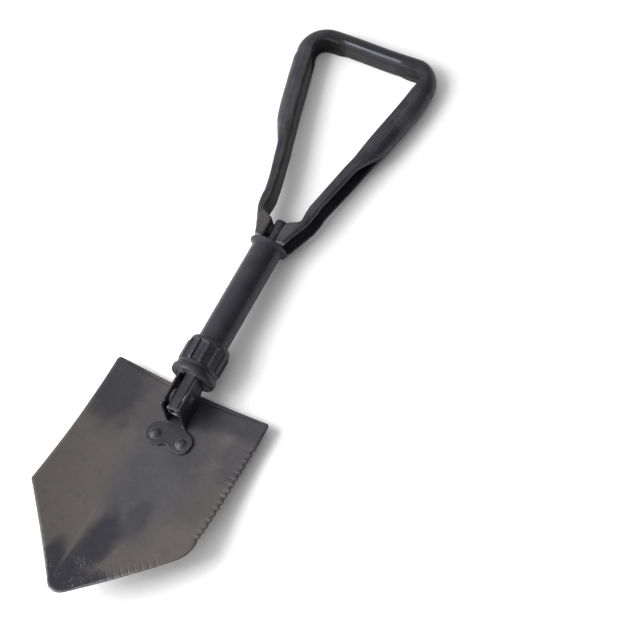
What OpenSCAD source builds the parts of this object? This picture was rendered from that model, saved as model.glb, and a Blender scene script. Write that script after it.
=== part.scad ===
// Folding camp shovel: a pointed blade, a tubular shaft with a locking nut, and a D-shaped grip.
// The open shovel lies on its back. Its shaft runs along Y with the grip at +Y, X is across the blade,
// and +Z is the blade's hollow front side. The origin is at the middle of its length and width, level
// with the lowest point of the blade's back. Each piece is drawn about the axis of the blade's pivot
// pin, and placed() then moves it into the shovel's frame.

/* [Blade] */
// Width of the blade across its top corners
blade_w = 152; // [146:0.5:156]
// Width of the blade across its side points
blade_mid_w = 156; // [150:0.5:160]
// Height of the blade's top edge above the pivot
blade_top_y = 16.3; // [14:0.1:18]
// Distance from the pivot down to the side points
blade_side_y = 118; // [110:1:126]
// Distance from the pivot down to the tip, before it is rounded
blade_tip_y = 200; // [190:1:210]
// Thickness of the blade sheet
blade_t = 2.2; // [1.8:0.1:2.6]
// Distance from the shaft's axis back to the front of the blade
blade_back = 20.8; // [20.5:0.1:22]
// Radius of the blade's hollow from side to side
dish_r = 340; // [330:5:420]
// Radius of the blade's forward curve from top to tip
curve_r = 500; // [450:10:600]
// Number of saw teeth on the right-hand edge
teeth = 17; // [10:1:19]

/* [Bracket] */
// Thickness of the bracket's plate
bracket_t = 2.4; // [2:0.1:2.6]
// Width of the bracket outside its two ears
bracket_w = 19.4; // [18.6:0.1:19.8]
// Distance between the two rivets
rivet_pitch = 26; // [24:0.5:27]
// Distance from the pivot down to the rivets
rivet_y = 31.5; // [30:0.5:33]

/* [Shaft] */
// Outside diameter of the tube
tube_d = 28; // [27:0.5:29]
// Wall of the tube
tube_wall = 1.6; // [1.2:0.1:2]
// Height of the tube's upper end above the pivot
tube_top_y = 160; // [150:1:165]
// Diameter of the flared collar on the end cap
collar_d = 36; // [33:0.5:36]
// Diameter of the post that carries the grip
post_d = 11; // [10:0.5:11.5]

/* [Locking nut] */
// Diameter over the nut's ribs
nut_d = 39.6; // [38.5:0.2:40]
// Diameter of the rim at the nut's lower end
nut_rim_d = 41.6; // [41:0.1:41.8]
// Length of the nut
nut_len = 36.5; // [36:0.5:38]
// Number of ribs round the nut
nut_ribs = 12; // [8:1:16]

/* [Grip] */
// Thickness of the grip from front to back
grip_t = 22.6; // [21:0.2:22.8]
// Width of the grip's section in its own plane
grip_depth = 18; // [16:0.5:18.5]
// Thickness of the grip's sheet
grip_sheet = 1.8; // [1.5:0.1:2.2]
// Lean of each leg from the shaft's direction, in degrees
leg_lean = 13.5; // [12.5:0.5:14]
// Height of the grip bar's inner face above the blade pivot
bar_inner_y = 380; // [376:1:382]

/* [Hidden] */
$fn = 72;

// Longer than any cut through the shovel
through = 120;
past_end = 1;

// Fits
running_gap = 0.05;
sliding_gap = 0.08;
seat_gap = 0.02;

// Blade and bracket
blade_level_y = -10;
blade_corner_r = 8;
blade_tip_r = 12;
blade_lip = 3;
tooth_r = 2.6;
tooth_pitch = 6;
tooth_first_y = -6;
tooth_bite = 1.4;
side_slope = (blade_mid_w - blade_w) / 2 / (blade_top_y + blade_side_y);
bracket_face_z = -blade_back + 2.2;
bracket_under_z = -blade_back - 2;
ear_reach = 21.4;
ear_front_z = 12;
ear_back_z = -9;
ear_root_h = 20;
ear_corner_y = -14.5;
bracket_top_y = 6;
bracket_waist_y = -17;
lobe_r = 9.6;
lobe_shoulder_x = 8.6;
lobe_shoulder_y = 3.8;
base_low_y = 5.8;
base_notch_r = 5.4;
base_notch_y = 10.4;
rivet_d = 5;
rivet_head_r = 5.2;
rivet_head_h = 2.4;
rivet_tail = 1.2;
pivot_pin_r = 4;
pivot_head_r = 6.2;
pivot_head_h = 1.6;
pivot_washer_r = 7.5;

// Shank: the box-section tongue between the ears
shank_w = 10.4;
shank_h = 13.5;
shank_wall = 2;
shank_end_y = -13.5;
shank_top_y = 48;
pivot_bush_r = 5.6;

// Tube and everything inside it
tube_r = tube_d / 2;
tube_in_r = tube_r - tube_wall;
tube_low_y = 33;
bush_cavity_y = 49;
bush_wall_y = 57;
bush_top_y = 63;
bush_cavity_r = 9;
cross_pin_r = 2;
cross_pin_y = [38, 43.5];
cross_pin_inset = 0.1;
rod_r = 4.5;
rod_low_y = 49.5;
rod_nut_af = 14;
rod_nut_h = 5;
rod_washer_h = 1.4;
rod_washer_r = 8.4;
cap_spigot = 12;
cap_h = 3.4;
lip_h = 1.1;
lip_ease = 0.4;
cap_top_y = tube_top_y + cap_h;
post_len = 27;
post_top_y = cap_top_y + post_len;

// Locking nut and its pressure plate
nut_low_y = 20;
nut_top_y = nut_low_y + nut_len;
thread_r = 17;
thread_len = 15;
thread_pitch = 4;
thread_depth = 0.8;
thread_top_y = 51;
plate_low_y = 21.6;
plate_h = 2.5;
plate_r = 18.2;
ring_h = 1.1;
ring_in_r = 16.6;
ring_out_r = 18.9;
ring_split = 4;
rim_h = 7;
rim_round = 1.6;
band_top_y = nut_low_y + 10.5;
band_h = 0.6;
shoulder_h = 3;
shoulder_w = 2;
rib_root = 2;
rib_w = 3;
rib_h = 1.2;
nut_body_r = nut_d / 2 - rib_h;

// Grip
grip_half_t = grip_t / 2;
grip_edge_r = 3;
grip_corner_r = 10;
grip_pin_y = 179.1;
grip_pin_r = 2.6;
grip_head_r = 3.7;
grip_head_h = 1.8;
leg_run = tan(leg_lean);
leg_foot_x = 11.3;
corner_y = bar_inner_y - grip_corner_r;
corner_x = leg_foot_x + leg_run * (corner_y - grip_pin_y) - grip_corner_r / cos(leg_lean);
leg_len = 166;
leg_open_from = 78;
leg_open_run = 28;
leg_open_w = 10.5;
leg_foot_w = 9;
foot_in_x = 7.5;
foot_out_x = 14.2;
foot_neck_x = 22.5;
foot_low = 17;
foot_wall_w = 2;
foot_step_low = 5;
foot_step_top = 11;
strut_in_x = 18.5;
strut_out_x = 28.2;
strut_top = 32;
foot_turn_r = 15.3;
collar_gap = 0.3;
spacer_r = 5;

// Where the pivot's axis sits in the shovel's frame
tip_half_angle = atan(blade_mid_w / 2 / (blade_tip_y - blade_side_y));
tip_y = -blade_tip_y + blade_tip_r / sin(tip_half_angle) - blade_tip_r;
back_r = curve_r + blade_t + blade_lip;
back_z = curve_r - blade_back - sqrt(back_r ^ 2 - (blade_top_y - blade_t - blade_level_y) ^ 2);
pivot_at = [0, -(bar_inner_y + grip_depth + tip_y) / 2, -back_z];

// Moves a piece from the pivot's axis to its place in the shovel's frame.
module placed() { translate(pivot_at) children(); }

// Turns a shape drawn along Z so that it runs along Y.
module along_y() { rotate([-90, 0, 0]) children(); }

// Turns a shape drawn along Z so that it runs along X.
module along_x() { rotate([0, 90, 0]) children(); }

// A cylinder about the shaft's axis, from one height to another.
module shaft_cylinder(r, y0, y1) {
    translate([0, y0, 0]) along_y() cylinder(r = r, h = y1 - y0);
}

// A cylinder across the shaft at one height, centred on the shaft.
module cross_cylinder(r, len, y = 0) {
    translate([0, y, 0]) along_x() cylinder(r = r, h = len, center = true);
}

// Points of an outline whose corners are replaced by arcs; each corner is [x, y, radius].
function unit(v) = v / norm(v);
function corner_arc(a, b, c, r, steps = 8) =
    let (u = unit(a - b), v = unit(c - b))
    let (half = acos(u * v) / 2)
    let (centre = b + unit(u + v) * r / sin(half))
    let (from = b + u * r / tan(half) - centre)
    let (to = b + v * r / tan(half) - centre)
    [for (i = [0:steps]) centre + r * unit(from * (1 - i / steps) + to * i / steps)];
function rounded(corners) =
    let (n = len(corners))
    let (p = [for (c = corners) [c[0], c[1]]])
    [for (i = [0:n - 1]) each
        corner_arc(p[(i + n - 1) % n], p[i], p[(i + 1) % n], corners[i][2])];

// A flat shape drawn from the front, carried right through the blade.
module punched() {
    translate([0, 0, -through / 2]) linear_extrude(through) children();
}

module rivet_holes() {
    for (side = [-1, 1])
        translate([side * rivet_pitch / 2, -rivet_y]) circle(d = rivet_d);
}

// The blade's five-sided outline, seen from the front.
module blade_outline() {
    polygon(rounded([
        [-blade_w / 2, blade_top_y, blade_corner_r],
        [blade_w / 2, blade_top_y, blade_corner_r],
        [blade_mid_w / 2, -blade_side_y, blade_corner_r],
        [0, -blade_tip_y, blade_tip_r],
        [-blade_mid_w / 2, -blade_side_y, blade_corner_r]
    ]));
}

// A hollow sheet curved both ways, from the blade's front face back by depth.
module dished_sheet(depth, front = 0) {
    reach = 26;
    swing = 30;
    rise = 5;
    sheet_w = 180;
    translate([0, blade_level_y, curve_r - blade_back])
        rotate([0, 90, 180])
            rotate([0, 0, -rise])
                rotate_extrude(angle = swing, $fn = 360)
                    intersection() {
                        translate([curve_r - reach, -sheet_w / 2]) square([reach + depth, sheet_w]);
                        translate([curve_r - dish_r, 0]) difference() {
                            circle(r = dish_r + depth, $fn = 360);
                            circle(r = dish_r - front, $fn = 360);
                        }
                    }
}

module blade() {
    color([0.29, 0.28, 0.28]) placed()
        difference() {
            union() {
                intersection() {
                    punched() blade_outline();
                    dished_sheet(blade_t);
                }
                intersection() {
                    punched() blade_outline();
                    punched() translate([-blade_w / 2, blade_top_y - blade_t]) square([blade_w, blade_t]);
                    dished_sheet(blade_t + blade_lip);
                }
            }
            for (i = [0:teeth - 1])
                let (y = tooth_first_y - i * tooth_pitch)
                let (edge = blade_w / 2 + side_slope * (blade_top_y - y))
                punched() translate([edge + tooth_r - tooth_bite, y]) circle(r = tooth_r);
            punched() rivet_holes();
        }
}

// One ear of the bracket, seen from the side in Y and Z.
module ear_outline() {
    intersection() {
        polygon([
            [bracket_top_y, bracket_under_z],
            [ear_reach, ear_back_z],
            [ear_reach, ear_front_z],
            [ear_corner_y, ear_front_z],
            [bracket_waist_y, bracket_face_z],
            [bracket_waist_y, bracket_under_z]
        ]);
        union() {
            circle(r = ear_reach);
            translate([bracket_waist_y, bracket_under_z])
                square([bracket_top_y - bracket_waist_y, ear_root_h]);
        }
    }
}

// The bracket's base plate with its two rivet lobes, seen from the front.
module bracket_base_outline() {
    difference() {
        union() {
            for (side = [-1, 1])
                translate([side * rivet_pitch / 2, -rivet_y]) circle(r = lobe_r);
            polygon([
                [-bracket_w / 2, bracket_top_y],
                [bracket_w / 2, bracket_top_y],
                [bracket_w / 2, bracket_waist_y],
                [rivet_pitch / 2 + lobe_shoulder_x, -rivet_y + lobe_shoulder_y],
                [rivet_pitch / 2, -rivet_y - base_low_y],
                [-rivet_pitch / 2, -rivet_y - base_low_y],
                [-rivet_pitch / 2 - lobe_shoulder_x, -rivet_y + lobe_shoulder_y],
                [-bracket_w / 2, bracket_waist_y]
            ]);
        }
        translate([0, -rivet_y - base_notch_y]) circle(r = base_notch_r);
    }
}

module blade_bracket() {
    under_blade = 20;
    color([0.16, 0.16, 0.17]) placed()
        difference() {
            union() {
                translate([0, 0, bracket_under_z])
                    linear_extrude(bracket_face_z - bracket_under_z) bracket_base_outline();
                for (side = [-1, 1])
                    translate([side * (bracket_w - bracket_t) / 2, 0, 0])
                        rotate([90, 0, 90])
                            linear_extrude(bracket_t, center = true) ear_outline();
            }
            dished_sheet(under_blade, seat_gap);
            cross_cylinder(pivot_pin_r, through);
            punched() rivet_holes();
        }
}

// A domed head on a flat base at z = 0.
module dome(r, h) {
    ball = (r * r + h * h) / (2 * h);
    intersection() {
        translate([0, 0, h - ball]) sphere(r = ball);
        cylinder(r = r + past_end, h = h + past_end);
    }
}

module bracket_rivets() {
    tail_z = -blade_back - blade_t - rivet_tail;
    color([0.14, 0.14, 0.15]) placed()
        for (side = [-1, 1])
            translate([side * rivet_pitch / 2, -rivet_y, 0]) {
                translate([0, 0, bracket_face_z]) dome(rivet_head_r, rivet_head_h);
                translate([0, 0, tail_z]) cylinder(d = rivet_d, h = bracket_face_z - tail_z);
            }
}

module blade_pivot_pin() {
    grip = bracket_w / 2 + seat_gap;
    color([0.2, 0.2, 0.21]) placed() {
        cross_cylinder(pivot_pin_r, 2 * grip);
        for (side = [-1, 1])
            translate([side * grip, 0, 0]) rotate([0, side * 90, 0])
                cylinder(r = pivot_head_r, h = pivot_head_h);
    }
}

module pivot_washers() {
    inner = bracket_w / 2 - bracket_t;
    color([0.35, 0.35, 0.36]) placed()
        for (side = [-1, 1])
            translate([side * (inner + shank_w / 2) / 2, 0, 0]) along_x()
                difference() {
                    cylinder(r = pivot_washer_r, h = inner - shank_w / 2 - 2 * running_gap, center = true);
                    cylinder(r = pivot_pin_r + running_gap, h = through, center = true);
                }
}

// A box about the shaft's axis, w across and h from front to back.
module shaft_box(w, h, y0, y1) {
    translate([-w / 2, y0, -h / 2]) cube([w, y1 - y0, h]);
}

module shank() {
    color([0.3, 0.31, 0.32]) placed()
        difference() {
            shaft_box(shank_w, shank_h, shank_end_y, shank_top_y);
            shaft_box(shank_w - 2 * shank_wall, shank_h - 2 * shank_wall, -through, through);
            cross_cylinder(pivot_bush_r, through);
            for (y = cross_pin_y)
                cross_cylinder(cross_pin_r, through, y);
        }
}

module pivot_bush() {
    color([0.62, 0.52, 0.33]) placed()
        difference() {
            cross_cylinder(pivot_bush_r - seat_gap, shank_w);
            cross_cylinder(pivot_pin_r + running_gap, through);
        }
}

module shank_bush() {
    color([0.4, 0.4, 0.41]) placed()
        difference() {
            shaft_cylinder(tube_in_r - seat_gap, tube_low_y, bush_top_y);
            shaft_box(shank_w + 2 * seat_gap, shank_h + 2 * seat_gap, 0, bush_cavity_y);
            shaft_cylinder(bush_cavity_r, bush_cavity_y, bush_wall_y);
            shaft_cylinder(rod_r + running_gap, 0, through);
            for (y = cross_pin_y)
                cross_cylinder(cross_pin_r, through, y);
        }
}

module shank_cross_pins() {
    color([0.45, 0.45, 0.46]) placed()
        for (y = cross_pin_y)
            cross_cylinder(cross_pin_r, tube_d - 2 * cross_pin_inset, y);
}

module threaded_bush() {
    thread_end_y = tube_low_y + thread_len;
    groove_w = thread_pitch / 2;
    color([0.42, 0.42, 0.43]) placed()
        difference() {
            shaft_cylinder(thread_r, tube_low_y, thread_end_y);
            shaft_cylinder(tube_r + seat_gap, 0, through);
            for (y = [tube_low_y + groove_w : thread_pitch : thread_end_y - groove_w])
                difference() {
                    shaft_cylinder(thread_r + past_end, y, y + groove_w);
                    shaft_cylinder(thread_r - thread_depth, 0, through);
                }
        }
}

module rod_nut() {
    color([0.5, 0.5, 0.51]) placed()
        difference() {
            translate([0, bush_wall_y - rod_washer_h - rod_nut_h, 0]) along_y()
                cylinder(d = rod_nut_af / cos(30), h = rod_nut_h - seat_gap, $fn = 6);
            shaft_cylinder(rod_r + seat_gap, 0, through);
        }
}

module rod_washer() {
    color([0.55, 0.55, 0.56]) placed()
        difference() {
            shaft_cylinder(rod_washer_r, bush_wall_y - rod_washer_h, bush_wall_y - seat_gap);
            shaft_cylinder(rod_r + running_gap, 0, through);
        }
}

module tension_rod() {
    color([0.2, 0.2, 0.21]) placed()
        difference() {
            union() {
                shaft_cylinder(rod_r, rod_low_y, cap_top_y + past_end);
                shaft_cylinder(post_d / 2, cap_top_y + seat_gap, post_top_y);
            }
            cross_cylinder(grip_pin_r + running_gap, through, grip_pin_y);
        }
}

module shaft_tube() {
    color([0.2, 0.21, 0.22]) placed()
        difference() {
            shaft_cylinder(tube_r, tube_low_y, tube_top_y);
            shaft_cylinder(tube_in_r, tube_low_y - past_end, tube_top_y + past_end);
            for (y = cross_pin_y)
                cross_cylinder(cross_pin_r, through, y);
        }
}

module end_cap() {
    collar_r = collar_d / 2;
    color([0.17, 0.17, 0.18]) placed()
        difference() {
            union() {
                shaft_cylinder(tube_in_r - seat_gap, tube_top_y - cap_spigot, cap_top_y);
                along_y() rotate_extrude()
                    polygon([
                        [rod_r, tube_top_y + seat_gap],
                        [tube_r, tube_top_y + seat_gap],
                        [collar_r - lip_ease, cap_top_y - lip_h - lip_ease],
                        [collar_r, cap_top_y - lip_h],
                        [collar_r, cap_top_y - lip_ease],
                        [collar_r - lip_ease, cap_top_y],
                        [rod_r, cap_top_y]
                    ]);
            }
            shaft_cylinder(rod_r + running_gap, 0, cap_top_y + past_end);
        }
}

// Half of the nut's outside, as radius against height: rounded rim, plain band, body and shoulder.
module nut_profile() {
    rim_r = nut_rim_d / 2;
    rim_top_y = nut_low_y + rim_h;
    polygon([
        [tube_in_r, nut_low_y],
        [rim_r - rim_round, nut_low_y],
        [rim_r, nut_low_y + rim_round],
        [rim_r, rim_top_y - 2 * rim_round],
        [rim_r - band_h / 2, rim_top_y - rim_round / 2],
        [nut_body_r + band_h, rim_top_y],
        [nut_body_r + band_h, band_top_y],
        [nut_body_r, band_top_y + band_h],
        [nut_body_r, nut_top_y - shoulder_h],
        [tube_r + shoulder_w, nut_top_y],
        [tube_in_r, nut_top_y]
    ]);
}

module locking_nut() {
    rib_len = nut_top_y - shoulder_h - band_top_y;
    color([0.26, 0.26, 0.27]) placed()
        difference() {
            union() {
                along_y() rotate_extrude() nut_profile();
                for (i = [0:nut_ribs - 1])
                    rotate([0, i * 360 / nut_ribs, 0])
                        translate([-rib_w / 2, band_top_y - band_h, nut_body_r - rib_root])
                            cube([rib_w, rib_len + band_h, rib_h + rib_root]);
            }
            shaft_cylinder(tube_r + sliding_gap, 0, through);
            shaft_cylinder(thread_r + sliding_gap, 0, thread_top_y);
            shaft_cylinder(plate_r + sliding_gap, 0, plate_low_y + plate_h + seat_gap);
            shaft_cylinder(ring_out_r, plate_low_y - ring_h - seat_gap, plate_low_y - seat_gap);
        }
}

module pressure_plate() {
    color([0.4, 0.4, 0.41]) placed()
        difference() {
            shaft_cylinder(plate_r, plate_low_y, plate_low_y + plate_h);
            shaft_box(shank_w + 2 * sliding_gap, shank_h + 2 * sliding_gap, 0, through);
        }
}

module plate_ring() {
    color([0.5, 0.5, 0.51]) placed()
        difference() {
            shaft_cylinder(ring_out_r - seat_gap, plate_low_y - ring_h, plate_low_y - 2 * seat_gap);
            shaft_cylinder(ring_in_r, 0, through);
            translate([-ring_split / 2, 0, 0]) cube([ring_split, through, through]);
        }
}

// The grip's section: flat on the inner side at x = 0, half round on the outer side.
module grip_section(inset = 0) {
    half = grip_half_t - inset;
    edge = grip_edge_r - inset;
    flat = grip_depth - grip_half_t;
    overlap = 0.01;
    translate([inset, -half + edge]) square([flat - inset, 2 * (half - edge)]);
    translate([inset + edge, -half]) square([flat - inset - edge, 2 * half]);
    for (side = [-1, 1])
        translate([inset + edge, side * (half - edge)]) circle(r = edge);
    intersection() {
        translate([flat, 0]) circle(r = half);
        translate([flat - overlap, -half]) square([half + past_end, 2 * half]);
    }
}

module grip_shell_section() {
    difference() {
        grip_section();
        grip_section(grip_sheet);
    }
}

// The part of a leg where the section is left open on the outer side; x is across the leg.
module leg_opening() {
    polygon([
        [grip_depth + past_end, -leg_open_from],
        [leg_open_w, -leg_open_from - leg_open_run],
        [leg_foot_w, -leg_len - past_end],
        [grip_depth + past_end, -leg_len - past_end]
    ]);
}

// One leg with its corner, right-hand side.
module grip_leg() {
    translate([corner_x, corner_y, 0]) rotate([0, 0, -leg_lean]) {
        rotate_extrude(angle = 90 + leg_lean)
            translate([grip_corner_r, 0]) grip_shell_section();
        difference() {
            rotate([90, 0, 0]) linear_extrude(leg_len)
                translate([grip_corner_r, 0]) grip_shell_section();
            translate([grip_corner_r, 0, -grip_t]) linear_extrude(2 * grip_t) leg_opening();
        }
    }
}

// Inner side of one foot, measured from the grip's pin: narrow at the post, wide where the leg begins.
function foot_side(out = 0, lift = 0) = [
    [foot_in_x + out, -foot_low],
    [foot_in_x + out, foot_step_low - lift],
    [strut_in_x + out, foot_step_top - lift],
    [strut_in_x + out, strut_top]
];
function reversed(points) = [for (i = [len(points) - 1:-1:0]) points[i]];

module foot_flange() {
    polygon(concat(foot_side(), [
        [strut_out_x, strut_top],
        [foot_neck_x, foot_step_top],
        [foot_out_x, -foot_low]
    ]));
}

module foot_wall() {
    polygon(concat(foot_side(), reversed(foot_side(foot_wall_w, lift = 1))));
}

// One foot, turned round at its end so that it swings clear of the collar.
module grip_foot() {
    translate([0, grip_pin_y, 0])
        intersection() {
            union() {
                translate([0, 0, -grip_half_t]) linear_extrude(grip_t) foot_wall();
                for (z = [-grip_half_t, grip_half_t - grip_sheet])
                    translate([0, 0, z]) linear_extrude(grip_sheet) foot_flange();
            }
            union() {
                along_x() cylinder(r = foot_turn_r, h = through);
                translate([collar_d / 2 + collar_gap, -through / 2, -through / 2]) cube(through);
            }
        }
}

module grip_frame() {
    color([0.22, 0.22, 0.24]) placed()
        difference() {
            union() {
                translate([-corner_x, bar_inner_y, 0]) rotate([90, 0, 90])
                    linear_extrude(2 * corner_x) grip_shell_section();
                for (side = [0, 1])
                    mirror([side, 0, 0]) {
                        grip_leg();
                        grip_foot();
                    }
            }
            cross_cylinder(grip_pin_r, through, grip_pin_y);
        }
}

module grip_pivot_pin() {
    seat = foot_in_x + foot_wall_w + seat_gap;
    color([0.3, 0.3, 0.31]) placed()
        translate([0, grip_pin_y, 0]) {
            cross_cylinder(grip_pin_r, 2 * seat);
            for (side = [-1, 1])
                translate([side * seat, 0, 0]) rotate([0, side * 90, 0])
                    cylinder(r = grip_head_r, h = grip_head_h);
        }
}

module grip_spacers() {
    from = post_d / 2 + running_gap;
    color([0.5, 0.5, 0.51]) placed()
        translate([0, grip_pin_y, 0])
            for (side = [-1, 1])
                rotate([0, side * 90, 0])
                    difference() {
                        translate([0, 0, from]) cylinder(r = spacer_r, h = foot_in_x - from - running_gap);
                        cylinder(r = grip_pin_r + running_gap, h = through);
                    }
}

shaft_tube();
end_cap();
tension_rod();
rod_nut();
rod_washer();
shank();
shank_bush();
shank_cross_pins();
threaded_bush();
pivot_bush();
blade();
blade_bracket();
bracket_rivets();
blade_pivot_pin();
pivot_washers();
pressure_plate();
locking_nut();
plate_ring();
grip_frame();
grip_pivot_pin();
grip_spacers();
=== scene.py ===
"""Looks of the folding camp shovel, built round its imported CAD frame.

Every shape is drawn in millimetres from the blade's pivot pin: X across the blade, +Y towards the grip
and +Z out of the blade's hollow side. at() turns such a point into the frame's metres.
"""

from collections import namedtuple
from math import asin, ceil, cos, exp, hypot, pi, radians, sin, sqrt, tan

import bmesh
import bpy
from mathutils import Matrix, Vector, noise
from mathutils.geometry import delaunay_2d_cdt


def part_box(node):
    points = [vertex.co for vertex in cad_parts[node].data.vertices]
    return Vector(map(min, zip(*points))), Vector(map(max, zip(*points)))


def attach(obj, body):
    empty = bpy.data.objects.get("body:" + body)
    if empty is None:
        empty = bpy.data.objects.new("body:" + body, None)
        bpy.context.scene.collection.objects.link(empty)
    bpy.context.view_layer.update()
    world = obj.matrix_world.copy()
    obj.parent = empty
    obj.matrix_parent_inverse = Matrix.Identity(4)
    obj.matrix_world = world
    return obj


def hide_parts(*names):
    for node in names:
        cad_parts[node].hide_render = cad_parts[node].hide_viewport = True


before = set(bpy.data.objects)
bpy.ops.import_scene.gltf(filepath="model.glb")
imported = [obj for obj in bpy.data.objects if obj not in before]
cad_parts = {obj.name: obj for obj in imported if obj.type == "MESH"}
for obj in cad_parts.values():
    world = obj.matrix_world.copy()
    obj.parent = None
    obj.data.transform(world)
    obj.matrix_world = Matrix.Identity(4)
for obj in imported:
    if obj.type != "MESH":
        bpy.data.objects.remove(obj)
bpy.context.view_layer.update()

MM = 0.001


def middle(node):
    low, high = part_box(node)
    return (low + high) / 2


PIVOT = middle("blade_pivot_pin")


def at(x, y, z):
    """A point given in millimetres from the blade's pivot, in the frame's metres."""
    return PIVOT + Vector((x, y, z)) * MM


def span(node, axis):
    """The lowest and highest value of a CAD node along an axis, in millimetres from the pivot."""
    low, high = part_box(node)
    return (low[axis] - PIVOT[axis]) / MM, (high[axis] - PIVOT[axis]) / MM


# Driving dimensions, from the frame
TUBE_R = span("shaft_tube", 0)[1]
TUBE_LOW, TUBE_TOP = span("shaft_tube", 1)
COLLAR_R = span("end_cap", 0)[1]
CAP_TOP = span("end_cap", 1)[1]
POST_R = span("tension_rod", 0)[1]
ROD_LOW, POST_TOP = span("tension_rod", 1)
NUT_R = span("locking_nut", 0)[1]
NUT_LOW, NUT_TOP = span("locking_nut", 1)
SHANK_W = 2 * span("shank", 0)[1]
SHANK_H = 2 * span("shank", 2)[1]
SHANK_LOW, SHANK_TOP = span("shank", 1)
BLADE_TIP, BLADE_TOP = span("blade", 1)
BLADE_HALF = span("blade", 0)[1]
GRIP_HALF = span("grip_frame", 2)[1]
GRIP_LOW, GRIP_TOP = span("grip_frame", 1)
GRIP_PIN_Y = (middle("grip_pivot_pin")[1] - PIVOT[1]) / MM
PIN_REACH = span("blade_pivot_pin", 0)[1]
GRIP_PIN_REACH = span("grip_pivot_pin", 0)[1]

# Blade, following the CAD source
BLADE_BACK = 20.8
DISH_R = 340
CURVE_R = 500
LEVEL_Y = -10
BLADE_T = 2.2
BLADE_TOP_HALF = 76
SIDE_Y = -118
RIVET_X = 13
RIVET_Y = -31.5
RIVET_HEAD_R = 5.2
RIVET_HEAD_H = 2.4
TOOTH_PITCH = 6

# Grip, following the CAD source
GRIP_DEPTH = 18
GRIP_SHEET = 1.8
EDGE_ROLL = 3.4
LEG_LEAN = radians(13.5)
LEG_FOOT_X = 11.3
BAR_INNER = GRIP_TOP - GRIP_DEPTH
CORNER_R = 10
CORNER_Y = BAR_INNER - CORNER_R
CORNER_X = LEG_FOOT_X + tan(LEG_LEAN) * (CORNER_Y - GRIP_PIN_Y) - CORNER_R / cos(LEG_LEAN)

# Bracket, tube and nut, following the CAD source
BRACKET_T = 2.4
BRACKET_HALF = 9.7
LOBE_R = 9.6
EAR_REACH = 21.4
TUBE_WALL = 1.6
SHANK_WALL = 2.0
CAP_SPIGOT = 12
RUNNING_GAP = 0.08
NUT_BORE = 17.08
NUT_MOUTH = 18.3
NUT_BODY = NUT_R - 2.4
NUT_RIBS = 12

# Only here: what the straight CAD leaves out, set from the photo
BLADE_SKEW = radians(-1.7)
GRIP_SKEW = radians(0.57)
EDGE_SPREAD = 1.2
RIVET_SHIFT = 1.2
TOOTH_FIRST = -12
TOOTH_COUNT = 16
REAR_EXTRA = 3
CORNER_SCOOP = 3.2
CORNER_FLAT = 1.8
POST_EXTRA = 0.35

# The blade's mesh closes in on its middle line between these heights
SPINE_TOP = -25
SPINE_LOW = -125

# The photo's camera, rounded from a fit to points of the shovel
VIEW_AZIMUTH = radians(40.38)
VIEW_ELEVATION = radians(61.51)
VIEW_ROLL = radians(15.13)
VIEW_DISTANCE = 1.3179
VIEW_AIM = at(76.07, 115.62, 0)
VIEW_LENS = 85.4
SENSOR = 36.0


def clamp(x, low=0.0, high=1.0):
    return max(low, min(high, x))


def smooth(low, high, x):
    """0 below low, 1 above high, and a smooth rise between them; low may be the larger."""
    t = clamp((x - low) / (high - low))
    return t * t * (3 - 2 * t)


def lerp(a, b, t):
    return a + (b - a) * t


def ripple(x, y, z=0.0, scale=20.0):
    """Smooth noise between about -1 and 1 whose lumps are about scale millimetres wide."""
    return noise.noise(Vector((x, y, z)) / scale)


# ---------------- mesh helpers

def skewed(bm, turn, y):
    """Turns a mesh a little about the upright axis through the shaft's axis at a height."""
    bmesh.ops.rotate(bm, verts=bm.verts, cent=at(0, y, 0), matrix=Matrix.Rotation(turn, 3, "Z"))


def finish_mesh(name, bm, material, body, replaces, sharp=40):
    """Turns a bmesh into a piece that rides on a CAD body and stands for the CAD nodes it replaces."""
    bmesh.ops.recalc_face_normals(bm, faces=bm.faces)
    mesh = bpy.data.meshes.new(name)
    bm.to_mesh(mesh)
    bm.free()
    for polygon in mesh.polygons:
        polygon.use_smooth = True
    mesh.set_sharp_from_angle(angle=radians(sharp))
    piece = bpy.data.objects.new(name, mesh)
    bpy.context.scene.collection.objects.link(piece)
    mesh.materials.append(material)
    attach(piece, body)
    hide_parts(*replaces)
    return piece


def add_grid(bm, rows, wrap_rows=False):
    """Faces between closed rows of points; each row has the same number of points."""
    verts = [[bm.verts.new(at(*p)) for p in row] for row in rows]
    n, m = len(rows), len(rows[0])
    for i in range(n if wrap_rows else n - 1):
        for j in range(m):
            a, b = verts[i], verts[(i + 1) % n]
            k = (j + 1) % m
            bm.faces.new((a[j], a[k], b[k], b[j]))
    return verts


def revolve(profile, axis="y", centre=(0, 0, 0), segments=96, bm=None, closed=False):
    """Turns a profile of (radius, distance along the axis) about an axis through centre."""
    bm = bm or bmesh.new()
    cx, cy, cz = centre
    rows = []
    for r, h in profile:
        row = []
        for i in range(segments):
            a = 2 * pi * i / segments
            u, v = r * cos(a), r * sin(a)
            spot = {"x": (h, u, v), "y": (u, h, v), "z": (u, v, h)}[axis]
            row.append((cx + spot[0], cy + spot[1], cz + spot[2]))
        rows.append(row)
    verts = add_grid(bm, rows, wrap_rows=closed)
    if not closed:
        bm.faces.new(verts[0])
        bm.faces.new(verts[-1])
    return bm


def softened(profile, radius, steps=3, closed=False):
    """A (radius, height) profile with each corner replaced by a small arc."""
    out = []
    n = len(profile)
    for i in range(n):
        p = Vector(profile[i])
        if not closed and i in (0, n - 1):
            out.append(tuple(p))
            continue
        before, after = Vector(profile[i - 1]) - p, Vector(profile[(i + 1) % n]) - p
        r = min(radius, before.length * 0.45, after.length * 0.45)
        a, b = p + before.normalized() * r, p + after.normalized() * r
        for k in range(steps + 1):
            t = k / steps
            out.append(tuple(a * (1 - t) ** 2 + p * 2 * t * (1 - t) + b * t * t))
    return out


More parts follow.
